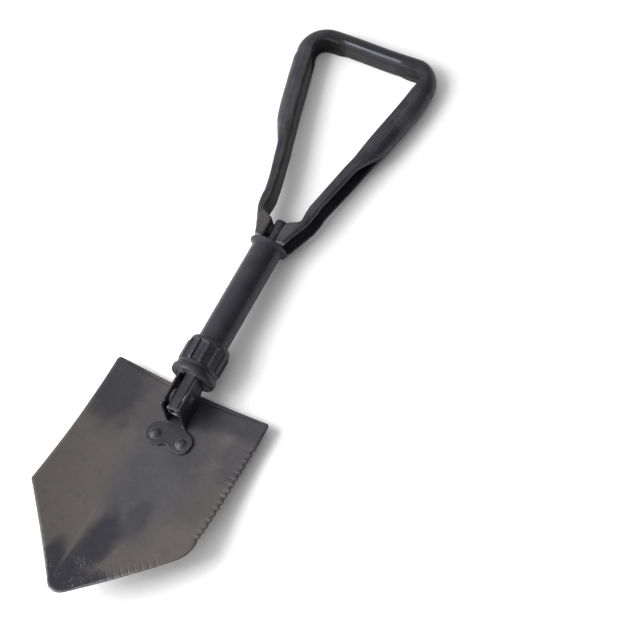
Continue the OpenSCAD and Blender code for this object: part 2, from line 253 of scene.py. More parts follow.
def outline(corners, step):
    """Points about step apart along a closed outline whose corners are (x, y, radius)."""
    n = len(corners)
    arcs = []
    for i in range(n):
        a, b, c = (Vector(corners[(i + k) % n][:2]) for k in (-1, 0, 1))
        r = corners[i][2]
        u, v = (a - b).normalized(), (c - b).normalized()
        half = u.angle(v) / 2
        centre = b + (u + v).normalized() * r / sin(half)
        start, end = b + u * r / tan(half) - centre, b + v * r / tan(half) - centre
        count = max(3, ceil(r * (pi - 2 * half) / step))
        turn = start.angle_signed(end)
        arcs.append([centre + Matrix.Rotation(-turn * k / count, 2) @ start for k in range(count + 1)])
    points = []
    for i in range(n):
        points += arcs[i]
        here, there = arcs[i][-1], arcs[(i + 1) % n][0]
        count = max(1, round((there - here).length / step))
        points += [here.lerp(there, k / count) for k in range(1, count)]
    return points


def plate(bm, points, low, high, edge, place, steps=2):
    """A plate with rounded edges: points is its outline, low and high its faces, place its position."""
    n = len(points)
    normals = []
    for i in range(n):
        t = points[(i + 1) % n] - points[i - 1]
        normals.append(Vector((t.y, -t.x)).normalized())
    area = sum(points[i - 1].cross(points[i]) for i in range(n))
    side = 1 if area > 0 else -1
    rows = []
    for face, sign in ((low, 1), (high, -1)):
        ring = []
        for k in range(steps + 1):
            a = k / steps * pi / 2
            ring.append((edge * (1 - sin(a)), face + sign * edge * (1 - cos(a))))
        rows += ring if face == low else ring[::-1]
    loops = []
    for inset, z in rows:
        loops.append([place(*(points[i] - side * normals[i] * inset), z) for i in range(n)])
    verts = add_grid(bm, loops)
    caps = [bm.faces.new(verts[0]), bm.faces.new(verts[-1])]
    bmesh.ops.triangulate(bm, faces=caps)
    return bm


# ---------------- materials

class Shade:
    """Builds one material; each call adds a node and gives back its output."""

    def __init__(self, name):
        self.material = bpy.data.materials.new(name)
        self.material.use_nodes = True
        self.tree = self.material.node_tree
        self.surface = self.tree.nodes["Principled BSDF"]
        self.place = self.node("ShaderNodeTexCoord", {}).outputs["Object"]

    def node(self, kind, inputs, **settings):
        made = self.tree.nodes.new(kind)
        for key, value in settings.items():
            setattr(made, key, value)
        for key, value in inputs.items():
            self.feed(made.inputs[key], value)
        return made

    def feed(self, socket, value):
        if isinstance(value, bpy.types.NodeSocket):
            self.tree.links.new(value, socket)
        else:
            socket.default_value = value

    def stretched(self, amounts, turn=0.0):
        """Coordinates in millimetres, turned about Z and scaled along each axis."""
        scale = [MM / a for a in amounts]
        return self.node("ShaderNodeMapping", {
            "Vector": self.place, "Rotation": (0, 0, radians(turn)), "Scale": scale},
            vector_type="TEXTURE").outputs[0]

    def grain(self, size, detail=4, rough=0.6, stretch=(1, 1, 1), turn=0.0):
        """Noise from 0 to 1 with lumps about size millimetres wide."""
        where = self.stretched([s / size for s in stretch], turn)
        return self.node("ShaderNodeTexNoise", {
            "Vector": where, "Scale": 1.0, "Detail": detail, "Roughness": rough}).outputs["Fac"]

    def step(self, value, low, high, start=0.0, end=1.0):
        """Smoothly from start to end as value goes from low to high."""
        return self.node("ShaderNodeMapRange", {
            "Value": value, "From Min": low, "From Max": high, "To Min": start, "To Max": end},
            interpolation_type="SMOOTHSTEP").outputs[0]

    def math(self, operation, a, b=0.0):
        return self.node("ShaderNodeMath", {0: a, 1: b}, operation=operation).outputs[0]

    def times(self, a, b):
        return self.math("MULTIPLY", a, b)

    def plus(self, a, b):
        return self.math("ADD", a, b)

    def uneven(self, value, size, detail, share):
        """The value with noise added to it, whose lumps are about size millimetres wide."""
        return self.plus(value, self.times(self.plus(self.grain(size, detail), -0.5), share))

    def blend(self, amount, a, b):
        """Colour a where amount is 0 and b where it is 1."""
        made = self.node("ShaderNodeMix", {}, data_type="RGBA")
        self.feed(made.inputs[0], amount)
        for socket, value in ((made.inputs[6], a), (made.inputs[7], b)):
            self.feed(socket, value if isinstance(value, bpy.types.NodeSocket) else (*value, 1.0))
        return made.outputs[2]

    def worn_edge(self, low, high):
        """1 on convex edges of the mesh, broken up by noise."""
        point = self.node("ShaderNodeNewGeometry", {}).outputs["Pointiness"]
        return self.step(self.uneven(point, 3, 4, 0.05), low, high)

    def reading(self, attribute):
        return self.node("ShaderNodeAttribute", {}, attribute_name=attribute).outputs["Fac"]

    def patch(self, x, y, across, along, turn=0.0, raggedness=0.5):
        """1 inside an oval of the given half sizes about (x, y), with ragged soft edges."""
        flat = 1000
        scaled = self.node("ShaderNodeMapping", {
            "Vector": self.place, "Location": at(x, y, 0), "Rotation": (0, 0, radians(turn)),
            "Scale": (across * MM, along * MM, flat)}, vector_type="TEXTURE").outputs[0]
        far = self.node("ShaderNodeVectorMath", {0: scaled}, operation="LENGTH").outputs["Value"]
        return self.step(self.uneven(far, 18, 5, raggedness * 2), 1.35, 0.55)

    def scratches(self, turn, width=0.5, length=60, share=0.66):
        """Thin straight marks running one way."""
        lines = self.grain(width * 2, 2, 0.5, (1, width / length, 1), turn)
        breaks = self.grain(25, 3, 0.6)
        return self.times(self.step(lines, share, share + 0.05), self.step(breaks, 0.52, 0.62))

    def finish(self, colour, rough, bumps=(), metallic=0.0, specular=0.5):
        """bumps holds (height signal, height in millimetres) pairs."""
        self.feed(self.surface.inputs["Base Color"], colour)
        self.feed(self.surface.inputs["Roughness"], rough)
        self.feed(self.surface.inputs["Metallic"], metallic)
        self.feed(self.surface.inputs["Specular IOR Level"], specular)
        normal = None
        for height, size in bumps:
            inputs = {"Height": height, "Distance": size * MM, "Strength": 1.0}
            if normal is not None:
                inputs["Normal"] = normal
            normal = self.node("ShaderNodeBump", inputs).outputs[0]
        if normal is not None:
            self.feed(self.surface.inputs["Normal"], normal)
        return self.material


def grey(level, blue=0.0):
    """A near neutral colour; blue shifts it towards blue, or towards tan when negative."""
    warm, cold = max(0.0, -blue), max(0.0, blue)
    shares = (1.0 + 0.5 * warm, 0.99 - 0.1 * warm, 1.02 - 0.5 * warm + 1.1 * cold)
    return tuple(level * share for share in shares)


def painted_steel(name, base, light, blue, rough, wear, bare, mottling=14):
    """Dark worn paint over steel: mottled colour, dust, fine pitting and bare metal on the edges."""
    s = Shade(name)
    mottle = s.step(s.grain(mottling, 6, 0.65), 0.35, 0.68)
    fine = s.grain(1.1, 5, 0.7)
    colour = s.blend(mottle, grey(base, blue), grey(light, blue * 0.5))
    colour = s.blend(s.step(fine, 0.55, 0.8, 0, 0.5), colour, grey(light * 1.35, 0.08))
    rubs = s.step(s.grain(6, 5, 0.7), 0.66, 0.74, 0, 0.6)
    colour = s.blend(rubs, colour, grey(light * 1.7, 0.0))
    edge = s.worn_edge(*wear)
    colour = s.blend(s.times(edge, 0.85), colour, grey(bare, 0.04))
    shine = s.plus(s.times(s.grain(3, 4), 0.25), rough - 0.12)
    shine = s.plus(shine, s.times(edge, -0.12))
    return s.finish(colour, shine, [(fine, 0.06), (s.grain(7, 4), 0.12)], metallic=0.1, specular=0.35)


def blade_paint():
    """Worn grey-brown paint: cooler down the middle, with dark patches, painted shade by the top left
    corner, scratches and rubbed edges.
    """
    s = Shade("blade_paint")
    tan_tone, cool = grey(0.068, -0.2), grey(0.045, 0.16)
    dark, streak = grey(0.015, 0.42), grey(0.088, -0.16)
    centre = s.patch(7, -60, 33, 68, 6, 0.5)
    colour = s.blend(s.times(centre, 0.9), tan_tone, cool)
    # Dark patches, then light streaks: x, y, half width, half length, turn, strength
    for x, y, across, along, turn, amount in (
            # The first dark patch, by the top left corner, is painted shade where the hollow curves deeper
            (-62, -4, 24, 44, 6, 0.85), (48, 8, 46, 18, 0, 0.85), (66, -18, 16, 34, 0, 0.6),
            (-27, -170, 9, 20, 10, 0.9), (-14, -175, 15, 16, 0, 0.9), (-1, -143, 15, 34, -2, 0.95),
            (16, -112, 10, 26, 0, 0.45), (2, -182, 34, 13, 22, 0.95), (26, -24, 24, 34, 0, 0.45),
            (52, -68, 22, 28, 0, 0.35), (-32, -7, 20, 24, 0, 0.35)):
        colour = s.blend(s.times(s.patch(x, y, across, along, turn), amount), colour, dark)
    for x, y, across, along, turn, amount in ((-19, -140, 2.2, 32, 5, 0.5), (16, -146, 2.2, 26, -14, 0.3)):
        colour = s.blend(s.times(s.patch(x, y, across, along, turn, 0.25), amount), colour, streak)
    fine = s.grain(1.0, 6, 0.75)
    colour = s.blend(s.step(fine, 0.5, 0.78, 0, 0.35), colour, grey(0.1, -0.03))
    blots = s.step(s.grain(9, 6, 0.7), 0.5, 0.72, 0, 0.35)
    colour = s.blend(blots, colour, grey(0.033, 0.05))
    by_tip = s.patch(-4, -174, 22, 13, 20, 0.3)
    marks = s.math("MAXIMUM", s.scratches(35, 0.4, 30, 0.62), s.scratches(-50, 0.4, 24, 0.63))
    marks = s.times(marks, s.plus(s.times(by_tip, 0.8), 0.1))
    colour = s.blend(marks, colour, grey(0.26, 0.0))
    rim = s.step(s.uneven(s.reading("rim"), 5, 5, 0.9), 0.62, 1.0)
    colour = s.blend(s.times(rim, 0.6), colour, grey(0.2, 0.02))
    shine = s.plus(s.times(s.grain(4, 5), 0.25), 0.4)
    shine = s.plus(shine, s.times(rim, -0.1))
    bumps = [(fine, 0.07), (s.grain(12, 3), 0.25), (marks, -0.05)]
    return s.finish(colour, shine, bumps, metallic=0.05, specular=0.35)


def grip_paint():
    """Blue-black paint on the flanges, tan dust on the web, painted shade on the bar's web and corner
    pockets, and a painted highlight along the bar's lip.
    """
    s = Shade("grip_paint")
    mottle = s.step(s.grain(16, 6, 0.65), 0.35, 0.68)
    fine = s.grain(1.1, 5, 0.7)
    colour = s.blend(mottle, grey(0.016, 0.36), grey(0.033, 0.22))
    web = s.reading("web")
    colour = s.blend(s.times(web, 0.8), colour, s.blend(mottle, grey(0.014, -0.02), grey(0.034, -0.16)))
    colour = s.blend(s.step(fine, 0.55, 0.8, 0, 0.5), colour, grey(0.08, -0.03))
    place = s.node("ShaderNodeCombineXYZ", {
        0: s.times(s.reading("across"), 0.7), 1: s.times(s.reading("along"), 0.025)}).outputs[0]
    streaks = s.node("ShaderNodeTexNoise", {"Vector": place, "Scale": 1.0, "Detail": 4}).outputs["Fac"]
    colour = s.blend(s.step(streaks, 0.5, 0.7, 0, 0.6), colour, grey(0.07, 0.03))
    # Darker over the bar, and painted shade on the bar's inner web below its lip
    bar = s.patch(0, BAR_INNER + 12, 62, 11, 0, 0.2)
    colour = s.blend(s.times(bar, 0.75), colour, grey(0.013, 0.4))
    colour = s.blend(s.times(s.times(bar, web), 0.9), colour, grey(0.005, 0.3))
    for side in (-1, 1):
        foot = s.patch(side * 12, GRIP_PIN_Y + 3, 6, 15, -side * 12, 0.4)
        colour = s.blend(s.times(foot, 0.6), colour, grey(0.06, -0.12))
    rust = s.times(s.step(s.grain(4, 5, 0.7), 0.68, 0.75), s.step(s.grain(40, 2), 0.5, 0.6))
    colour = s.blend(s.times(rust, 0.6), colour, (0.16, 0.09, 0.05))
    # Painted highlight: a lighter, glossier band along the bar's lip where it catches the light
    highlight_on_lip = s.step(s.uneven(s.reading("lip_highlight"), 4, 4, 0.5), 0.5, 0.95)
    colour = s.blend(s.times(highlight_on_lip, 0.8), colour, grey(0.16, 0.3))
    ends = s.step(s.uneven(s.reading("ends"), 3, 4, 0.6), 0.5, 0.8)
    colour = s.blend(s.times(ends, 0.7), colour, grey(0.24, 0.03))
    edge = s.worn_edge(0.56, 0.62)
    colour = s.blend(s.times(edge, 0.35), colour, grey(0.14, 0.02))
    shine = s.plus(s.times(s.grain(3, 4), 0.25), 0.34)
    # Painted shade in the pressed-in pockets at the bar's inner corners
    for side in (-1, 1):
        pocket = s.patch(side * 48, BAR_INNER - 1, 15, 11, 0, 0.2)
        colour = s.blend(s.times(s.times(pocket, web), 0.95), colour, grey(0.004))
    shine = s.plus(shine, s.plus(s.times(highlight_on_lip, -0.3), s.times(web, 0.16)))
    return s.finish(colour, shine, [(fine, 0.06), (s.grain(8, 4), 0.15)], metallic=0.1, specular=0.35)


def bare_steel(name, level, rough, blue=0.0):
    """Oiled bare metal for the parts inside, with turning marks and stains."""
    s = Shade(name)
    stain = s.step(s.grain(6, 5, 0.6), 0.4, 0.7)
    colour = s.blend(stain, grey(level, blue), grey(level * 0.55, blue - 0.1))
    rings = s.grain(1.0, 3, 0.5, (1, 4, 1))
    shine = s.plus(s.times(s.grain(2, 4), 0.2), rough)
    return s.finish(colour, shine, [(rings, 0.03)], metallic=0.9)


BLADE = blade_paint()
GRIP = grip_paint()
TUBE = painted_steel("tube_paint", 0.0135, 0.023, blue=0.42, rough=0.42, wear=(0.56, 0.62), bare=0.14)
NUT = painted_steel("nut_coat", 0.0145, 0.027, blue=0.38, rough=0.45, wear=(0.525, 0.56), bare=0.16)
BRACKET = painted_steel("bracket_paint", 0.016, 0.029, blue=0.32, rough=0.46, wear=(0.53, 0.58), bare=0.24)
HARDWARE = painted_steel("pin_coat", 0.018, 0.038, blue=0.3, rough=0.4, wear=(0.52, 0.56), bare=0.24,
                         mottling=4)
SHANK = painted_steel("shank_paint", 0.018, 0.033, blue=0.34, rough=0.4, wear=(0.53, 0.57), bare=0.24)
INNER = bare_steel("inner_steel", 0.4, 0.3)
BRONZE = bare_steel("bush_bronze", 0.5, 0.35, blue=-0.6)


# ---------------- blade

def blade_face(x, y):
    """Height of the blade's front face: hollow from side to side, curved forward towards the tip."""
    ring = CURVE_R - DISH_R + sqrt(DISH_R ** 2 - x * x)
    return CURVE_R - BLADE_BACK - sqrt(ring ** 2 - (y - LEVEL_Y) ** 2)


def blade_edge():
    """The blade's outline, corner by corner from the top left; the right-hand corner is worn round."""
    tip_before_rounding = BLADE_TIP - 5.2
    return outline([
        (-BLADE_TOP_HALF - EDGE_SPREAD, BLADE_TOP, 3.5),
        (BLADE_TOP_HALF + EDGE_SPREAD, BLADE_TOP, 3),
        (BLADE_HALF, SIDE_Y, 26),
        (-EDGE_SPREAD, tip_before_rounding, 11.5),
        (-BLADE_HALF - EDGE_SPREAD, SIDE_Y, 4),
    ], 0.55)


def spine_point(y):
    """The nearest point of the blade's middle line, which the rings of its mesh close in on."""
    return Vector((0, clamp(y, SPINE_LOW, SPINE_TOP)))


def buckle(x, y):
    """The used sheet's slight waviness in height, away from the bracket."""
    return 0.25 * ripple(x, y, 0, 38) * smooth(0, 20, abs(x) + abs(y + 20) * 0.6 - 22)


def tooth(y):
    """How deep the saw edge is cut at a height, from 0 to 1."""
    number = round((TOOTH_FIRST - y) / TOOTH_PITCH)
    if number < 0 or number >= TOOTH_COUNT:
        return 0.0
    uneven = ripple(number, 0, 0, 0.7)
    centre = TOOTH_FIRST - number * TOOTH_PITCH + uneven
    reach = 2.1 + 0.4 * uneven
    return clamp(1 - ((y - centre) / reach) ** 2) ** 0.8 * (0.8 + 0.4 * uneven)


def slit(x, y):
    """Depth from 0 to 1 of the narrow cuts square to the lower right edge."""
    start, end = Vector((BLADE_HALF, SIDE_Y)), Vector((0, BLADE_TIP - 5))
    along = (end - start).normalized()
    offset = Vector((x, y)) - start
    share = offset.dot(along) / (end - start).length
    inward = abs(along.cross(offset))
    if share < 0.2 or share > 0.68:
        return 0.0
    pitch = 0.052
    nearest = round((share - 0.23) / pitch) * pitch + 0.23
    gap = (share - nearest) * (end - start).length
    return clamp(1 - abs(gap) / 0.65) * smooth(9, 6.5, inward)


def score(x, y):
    """Depth from 0 to 1 of the fine lines that the grinding of each tooth left behind it."""
    number = round((TOOTH_FIRST - y) / TOOTH_PITCH)
    if number < 0 or number >= TOOTH_COUNT or x < 50:
        return 0.0
    length = 6 + 6 * ripple(number, 5, 0, 0.6)
    centre = TOOTH_FIRST - number * TOOTH_PITCH + ripple(number, 0, 0, 0.7) + 2.2
    inward = BLADE_HALF - x
    return clamp(1 - abs(y + 0.1 * inward - centre) / 0.6) * smooth(length + 2, length, inward)


def front_relief(q, inset, top, cut, sharpened):
    """How far the front face stands up here: less at the ground edge, teeth and cuts, more on the lip."""
    z = -0.7 * sharpened * (1 - top) * smooth(3.4, 0, inset)
    z -= cut * 0.6 * clamp(1 - inset / 8) ** 1.3
    z -= 0.55 * slit(*q) + 0.35 * score(*q)
    ridge = smooth(3.2, 2.2, inset)
    hollow = smooth(2.4, 3.4, inset) * smooth(5.6, 4.2, inset)
    return z + top * (0.8 * ridge - 0.6 * hollow)


def blade_rings():
    """Front and back rings of points from 14 mm inside the edge out to it, and back in."""
    edge = blade_edge()
    front_insets = [14, 12, 10.2, 8.8, 7.6, 6.5, 5.5, 4.6, 3.8, 3.0, 2.3, 1.7, 1.2]
    # (inset, depth below the front face) round the edge: a plain edge, and the turned lip at the top
    plain = [(0.75, 0.1), (0.35, 0.35), (0.08, 0.75), (0, 1.15), (0.1, 1.6), (0.4, 1.95), (0.8, 2.15),
             (1.2, 2.2), (1.8, 2.2), (2.6, 2.2)]
    lip = [(0.75, 0.45), (0.3, 1.0), (0.05, 1.9), (0, 3.0), (0, 4.2), (0.4, 5.0), (1.1, 5.2),
           (1.8, 4.8), (2.2, 3.6), (2.8, 2.5)]
    back_insets = [3.8, 5.5, 7.6, 10.2, 14]
    rings = [[] for _ in range(len(front_insets) + len(plain) + len(back_insets))]
    for p in edge:
        x, y = p
        inward = (spine_point(y) - p).normalized()
        top = smooth(3.5, 0.8, BLADE_TOP - y) * smooth(BLADE_TOP_HALF - 2, BLADE_TOP_HALF - 8, abs(x))
        cut = tooth(y) * (1 if x > 60 else 0)
        low_right = x > 0 and y < SIDE_Y + 12
        sharpened = 1 if (y < 8 and not low_right) else 0.7
        nick = 0.35 * max(0, ripple(x, y, 3, 2.5)) * smooth(-150, -185, y)

        def spot(inset, depth, on_front):
            pull = cut * 1.5 * clamp(1 - inset / 12) ** 2 + nick * clamp(1 - inset / 3)
            q = p + inward * (inset + pull)
            z = blade_face(*q) - depth + buckle(*q)
            if on_front:
                z += front_relief(q, inset, top, cut, sharpened)
            return (q.x, q.y, z)

        spots = [spot(d, 0, True) for d in front_insets]
        for a, b in zip(plain, lip):
            inset, depth = lerp(a[0], b[0], top), lerp(a[1], b[1], top)
            spots.append(spot(inset, depth, depth < 1.2))
        spots += [spot(d, BLADE_T, False) for d in back_insets]
        for ring, s in zip(rings, spots):
            ring.append(s)
    return rings


def fill_inside(bm, loop, drop):
    """Fills the middle of one face of the blade with triangles about as wide as the pitch."""
    pitch = 3.5
    flat = [Vector(((v.co.x - PIVOT.x) / MM, (v.co.y - PIVOT.y) / MM)) for v in loop]
    n = len(flat)
    inner = []
    for row in range(-60, 10):
        for column in range(-24, 25):
            p = Vector(((column + 0.5 * (row % 2)) * pitch, row * pitch * 0.87))
            heart = spine_point(p.y)
            if (p - heart).length < 1e-6:
                inner.append(p)
                continue
            toward = (p - heart).normalized()
            limit = min((q - heart).dot(toward) for q in flat
                        if abs((q - heart).cross(toward)) < 1.2 and (q - heart).dot(toward) > 0)
            if (p - heart).length < limit - 2.0:
                inner.append(p)
    verts, _, faces, origin, _, _ = delaunay_2d_cdt(
        flat + inner, [(i, (i + 1) % n) for i in range(n)], [], 1, 1e-7)
    made = []
    for v, sources in zip(verts, origin):
        if sources and sources[0] < n:
            made.append(loop[sources[0]])
        else:
            z = blade_face(*v) - drop + buckle(*v)
            made.append(bm.verts.new(at(v.x, v.y, z)))
    for f in faces:
        bm.faces.new([made[i] for i in f])


def build_blade():
    bm = bmesh.new()
    rings = blade_rings()
    verts = add_grid(bm, rings)
    fill_inside(bm, verts[0], 0)
    fill_inside(bm, verts[-1], BLADE_T)
    skewed(bm, BLADE_SKEW, 0)
    blade = finish_mesh("blade_sheet", bm, BLADE, "blade_group", ["blade"], 50)
    mark_rim(blade, len(rings), len(rings[0]))
    return blade


def mark_rim(blade, rings, per_ring):
    """Stores how near each vertex is to the blade's working edge, for the rubbed paint."""
    rim = blade.data.attributes.new("rim", "FLOAT", "POINT")
    for i in range(rings * per_ring):
        ring = i // per_ring
        _, y, _ = (blade.data.vertices[i].co - PIVOT) / MM
        near = smooth(5, 13, ring) * smooth(27, 22, ring)
        rim.data[i].value = near * (0.55 + 0.45 * smooth(-120, -175, y))


# ---------------- bracket and its pins

def bracket_base(waist, top):
    """Outline of the base plate: narrow between the ears, with a round lobe about each rivet."""
    shift, half = RIVET_SHIFT, BRACKET_HALF
    corner_x, corner_y = RIVET_X + LOBE_R, RIVET_Y - LOBE_R
    lobe_round = 8.6
    return outline([
        (-half, top, 0.6), (half, top, 0.6), (half, waist, 3.5),
        (shift + corner_x, RIVET_Y + 7.5, lobe_round), (shift + corner_x - 1.5, corner_y, lobe_round),
        (shift + 6.2, corner_y + 0.6, 3.4), (shift, RIVET_Y - 4.2, 5.2),
        (shift - 6.2, corner_y + 0.6, 3.4),
        (shift - corner_x + 1.5, corner_y, lobe_round), (shift - corner_x, RIVET_Y + 7.5, lobe_round),
        (-half, waist, 3.5),
    ], 0.5)


def bracket_ear(low, top):
    """Outline of an ear as (y, z): an arc about the pivot on the side that meets the nut."""
    front, foot = 12.0, -19.6
    steps = 24
    arc = []
    for k in range(steps + 1):
        a = radians(lerp(-24, 34, k / steps))
        arc.append((EAR_REACH * cos(a), EAR_REACH * sin(a), 0.2))
    return outline([(low, foot, 0.5), (top, foot, 1.5)] + arc + [(-14.5, front, 1.2)], 0.5)


def build_bracket():
    """The folded yoke: a base plate with two rivet lobes, and two ears that stand up from it."""
    bm = bmesh.new()
    waist, top = -17.5, 6
    base = bracket_base(waist, top)
    plate(bm, base, -0.02, BRACKET_T, 0.4, lambda x, y, z: (x, y, blade_face(x, y) + z))
    ear = bracket_ear(waist + 0.4, top)
    for side in (-1, 1):
        centre = side * (BRACKET_HALF - BRACKET_T / 2)
        plate(bm, ear, -BRACKET_T / 2, BRACKET_T / 2, 0.5, lambda y, z, x: (centre + x, y, z))
    for side in (-1, 1):
        add_bend(bm, side * (BRACKET_HALF - BRACKET_T), side, waist + 1, top)
    bracket = finish_mesh("bracket_yoke", bm, BRACKET, "blade_group", ["blade_bracket"], 180)
    remesh = bracket.modifiers.new("melt", "REMESH")
    remesh.mode = "VOXEL"
    remesh.voxel_size = 0.42 * MM
    remesh.use_smooth_shade = True
    soften = bracket.modifiers.new("soften", "SMOOTH")
    soften.factor = 0.5
    soften.iterations = 4
    return bracket


def add_bend(bm, x, side, low, high):
    """The rounded inside corner where an ear turns up from the base plate."""
    r = 3.0
    rows = []
    for k in range(13):
        y = lerp(low, high, k / 12)
        z0 = -BLADE_BACK + 1.8
        row = [(x + side * 0.6, y, z0 - 0.5), (x - side * r, y, z0 - 0.5)]
        for j in range(7):
            a = j / 6 * pi / 2
            row.append((x - side * r * (1 - sin(a)), y, z0 + r * (1 - cos(a))))
        row.append((x + side * 0.6, y, z0 + r))
        rows.append(row)
    verts = add_grid(bm, rows)
    bm.faces.new(verts[0])
    bm.faces.new(verts[-1])


def dome(radius, height, rim, steps=9):
    """Profile of a rivet head: a short upright rim and a round top, from its seat to its crown."""
    rise = height - rim
    ball = (radius ** 2 + rise ** 2) / (2 * rise)
    top = asin(clamp(radius / ball))
    profile = [(radius, 0), (radius, rim * 0.7)]
    for k in range(steps):
        a = top * (1 - k / steps)
        profile.append((ball * sin(a) * 0.995, rim + rise - ball + ball * cos(a)))
    return profile + [(0.15, height)]


def build_rivets():
    bm = bmesh.new()
    for side in (-1, 1):
        x = side * RIVET_X + RIVET_SHIFT
        seat = blade_face(x, RIVET_Y) + BRACKET_T - 0.1
        back = blade_face(x, RIVET_Y) - BLADE_T
        stem = 2.5
        front = [(r, seat + h) for r, h in dome(RIVET_HEAD_R, RIVET_HEAD_H, 0.5)]
        rear = [(r, back - h) for r, h in dome(RIVET_HEAD_R - 1, RIVET_HEAD_H / 2, 0.25)]
        revolve(rear[::-1] + [(stem, back), (stem, seat)] + front, "z", (x, RIVET_Y, 0), 48, bm)
    return finish_mesh("rivet_pair", bm, HARDWARE, "blade_group", ["bracket_rivets"])


def cross_pin(name, y, r, seat, reach, head_r, body, node):
    """A pin across the shaft with a low domed head at each end."""
    head = [(rr, seat + h) for rr, h in dome(head_r, reach - seat, 0.5)]
    profile = [(rr, -h) for rr, h in head[::-1]] + [(r, -seat), (r, seat)] + head
    bm = revolve(softened(profile, 0.12, 2), "x", (0, y, 0), 48)
    return finish_mesh(name, bm, HARDWARE, body, [node])


def shank_section(inset):
    """Rounded square, this far inside the shank's outer face."""
    w, h, r = SHANK_W / 2 - inset, SHANK_H / 2 - inset, max(0.5, 1.8 - inset)
    return outline([(-w, -h, r), (w, -h, r), (w, h, r), (-w, h, r)], 0.6)


def evenly(points, count):
    """The same closed line through this many evenly spaced points."""
    lengths = [0.0]
    for a, b in zip(points, points[1:] + points[:1]):
        lengths.append(lengths[-1] + (b - a).length)
    out, k = [], 0
    for i in range(count):
        target = lengths[-1] * i / count
        while lengths[k + 1] < target:
            k += 1
        share = (target - lengths[k]) / (lengths[k + 1] - lengths[k])
        out.append(points[k].lerp(points[(k + 1) % len(points)], share))
    return out


def build_shank():
    """Square tube with rounded corners, open at its lower end."""
    count = len(shank_section(0))

    def ring(inset, y):
        return [(p.x, y, p.y) for p in evenly(shank_section(inset), count)]

    rows = [ring(SHANK_WALL, lerp(SHANK_TOP, SHANK_LOW + 0.3, k / 8)) for k in range(9)]
    rows += [ring(SHANK_WALL - 0.25, SHANK_LOW), ring(0.4, SHANK_LOW), ring(0.1, SHANK_LOW + 0.15)]
    rows += [ring(0, lerp(SHANK_LOW + 0.4, SHANK_TOP, k / 24)) for k in range(25)]
    bm = bmesh.new()
    add_grid(bm, rows, wrap_rows=True)
    return finish_mesh("shank_tongue", bm, SHANK, "shaft", ["shank"])


# ---------------- tube, cap, post and nut

def build_tube():
    """The plain tube, very slightly out of round where it has been knocked."""
    inner = TUBE_R - TUBE_WALL
    ends = [(inner, TUBE_LOW + 0.2), (TUBE_R - 0.3, TUBE_LOW), (TUBE_R, TUBE_LOW + 0.3)]
    wall = [(TUBE_R, lerp(TUBE_LOW + 2, TUBE_TOP - 1, k / 60)) for k in range(61)]
    top = [(TUBE_R, TUBE_TOP), (inner, TUBE_TOP)]
    bm = revolve(ends + wall + top, segments=120, closed=True)
    for v in bm.verts:
        x, y, z = (v.co - PIVOT) / MM
        r = hypot(x, z)
        if r < TUBE_R - 0.2 or y < NUT_TOP + 1 or y > TUBE_TOP - 2:
            continue
        dent = -0.12 * max(0.0, ripple(x, y, z, 11) - 0.1)
        v.co = at(x * (1 + dent / r), y, z * (1 + dent / r))
    return finish_mesh("tube_shell", bm, TUBE, "shaft", ["shaft_tube"])


def build_cap():
    """The end cap: a spigot inside the tube and a thin flared lip outside it."""
    inner = POST_R - 1.0
    spigot = TUBE_R - TUBE_WALL - 0.02
    lip = COLLAR_R
    profile = [(inner, TUBE_TOP - CAP_SPIGOT), (spigot, TUBE_TOP - CAP_SPIGOT), (spigot, TUBE_TOP),
               (TUBE_R + 0.1, TUBE_TOP), (TUBE_R + 1.2, TUBE_TOP + 0.5), (lip - 0.9, CAP_TOP - 1.7),
               (lip, CAP_TOP - 1.3), (lip, CAP_TOP - 0.2), (lip - 0.9, CAP_TOP), (lip - 2.4, CAP_TOP - 0.5),
               (POST_R + 4, CAP_TOP - 0.6), (POST_R + 2.6, CAP_TOP), (inner, CAP_TOP)]
    bm = revolve(softened(profile, 0.35, 3, True), segments=128, closed=True)
    return finish_mesh("cap_collar", bm, TUBE, "shaft", ["end_cap"])


def build_post():
    """The tension rod, whose thick upper end is the post between the grip's feet."""
    rod = POST_R - 1.0
    post = POST_R + POST_EXTRA
    profile = [(0.2, ROD_LOW), (rod - 0.8, ROD_LOW), (rod, ROD_LOW + 0.8), (rod, CAP_TOP + 0.1),
               (post, CAP_TOP + 0.12), (post, POST_TOP - 0.9), (post - 0.9, POST_TOP),
               (0.2, POST_TOP - 0.1)]
    bm = revolve(softened(profile, 0.3, 3), segments=72)
    return finish_mesh("post_rod", bm, HARDWARE, "shaft", ["tension_rod"])


def nut_row(y, base, rib, per_rib=24):
    """One ring of the nut; rib is how far the ribs stand out at this height, from 0 to 1."""
    row = []
    pitch = 2 * pi * NUT_R / NUT_RIBS
    for i in range(NUT_RIBS * per_rib):
        a = 2 * pi * i / (NUT_RIBS * per_rib)
        offset = ((i / per_rib) % 1 - 0.5) * pitch
        raised = smooth(1.65, 0.8, abs(offset)) * 1.5
        hollow = -0.4 * smooth(1.6, 2.6, abs(offset))
        r = base + rib * (raised + hollow)
        row.append((r * sin(a), y, r * cos(a)))
    return row


def nut_mouth():
    """(height, radius, rib) from inside the nut's mouth, over its rounded rim, to the groove above."""
    rows = [(NUT_LOW + 2.5, NUT_MOUTH, 0), (NUT_LOW + 0.5, NUT_MOUTH, 0), (NUT_LOW, NUT_MOUTH + 0.5, 0)]
    for k in range(13):
        a = pi * (k / 12 - 0.5)
        rows.append((NUT_LOW + 3.5 + 3.5 * sin(a), NUT_R - 1.9 + 1.9 * cos(a) ** 0.8, 0))
    groove = NUT_LOW + 7.3
    for rise, out in ((-0.1, 0.15), (0.3, 0.1), (0.7, 0.55)):
        rows.append((groove + rise, NUT_BODY + out, 0))
    return rows


